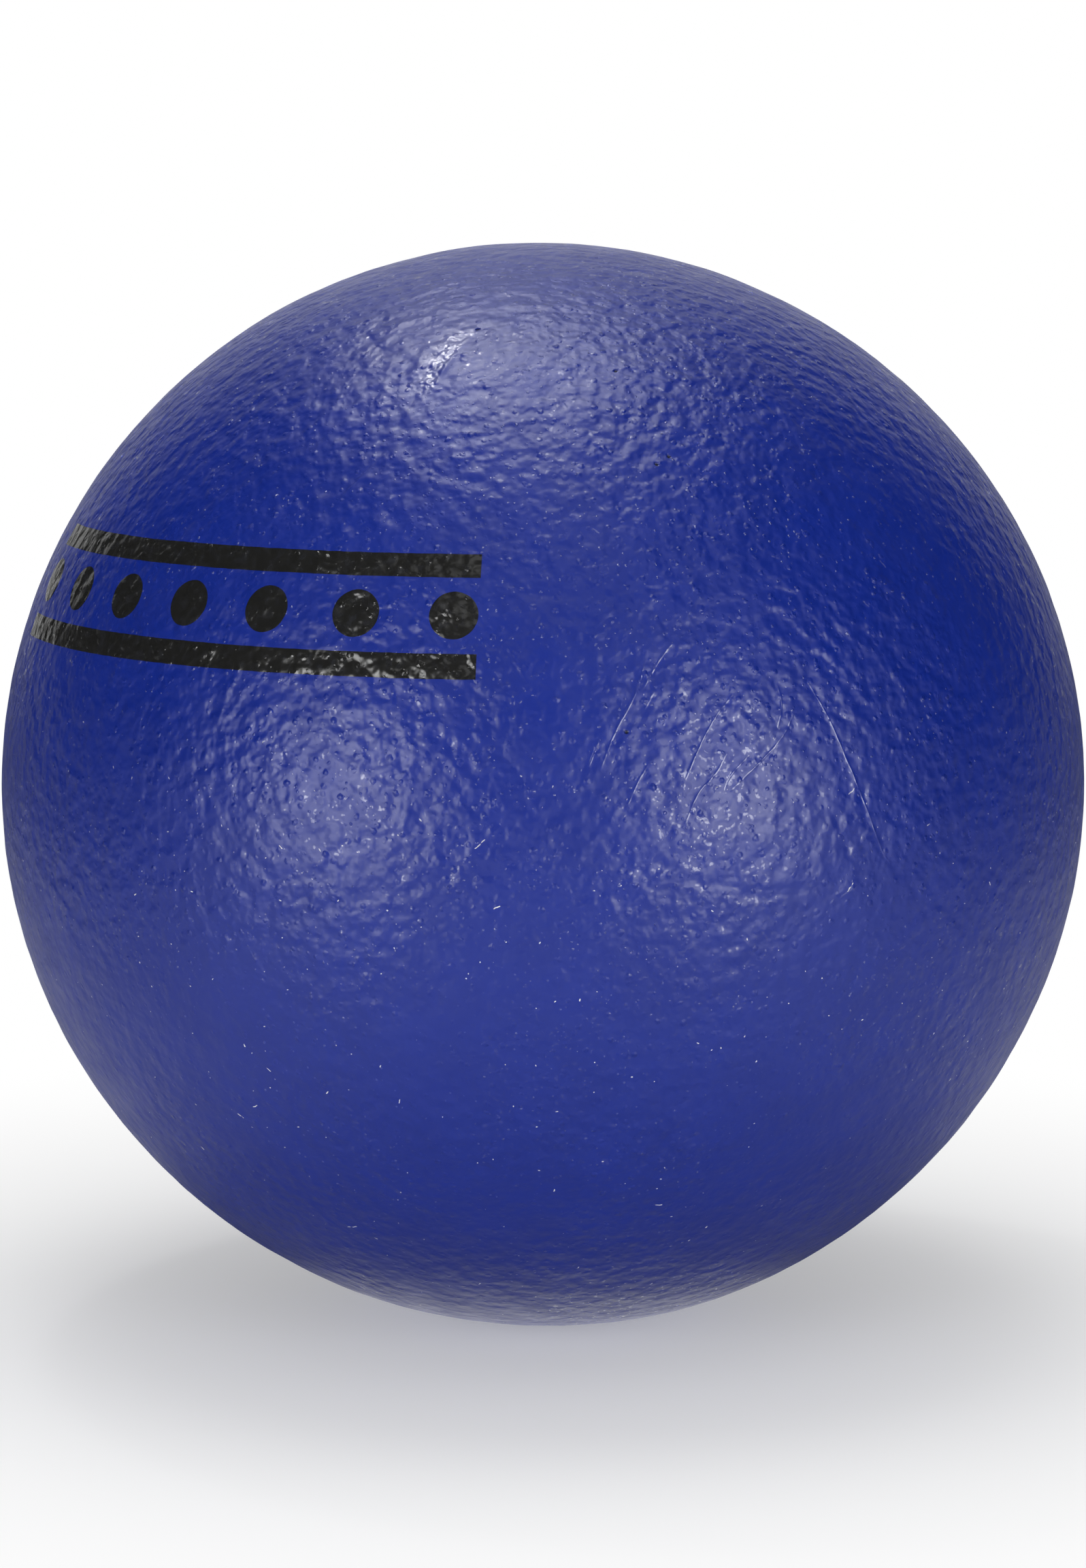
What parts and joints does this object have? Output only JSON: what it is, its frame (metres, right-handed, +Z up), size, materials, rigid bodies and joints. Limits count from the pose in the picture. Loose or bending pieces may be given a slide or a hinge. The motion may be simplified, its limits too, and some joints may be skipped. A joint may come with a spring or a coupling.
{
  "type": "foam ball",
  "caption": "Round soft foam ball for play: a moulded foam core in a seamless blue coating with a plain printed black band and a small flattened foot.",
  "frame": {"origin": "middle of the flattened foot, on the surface that the ball stands on", "axes": "+Z up through the ball's centre, -Y towards the front, +X to the right seen from the front"},
  "size_m": [0.16, 0.16, 0.1594],
  "materials": {
    "foam": "open-cell moulded foam",
    "coating": "half-gloss pebbled polyurethane",
    "ink": "satin printing ink"
  },
  "bodies": {
    "root": {"foam_core": "foam", "skin": "coating", "upper_printed_line": "ink", "lower_printed_line": "ink", "printed_dot_1": "ink", "printed_dot_2": "ink", "printed_dot_3": "ink", "printed_dot_4": "ink", "printed_dot_5": "ink", "printed_dot_6": "ink", "printed_dot_7": "ink"}
  },
  "joints": []
}
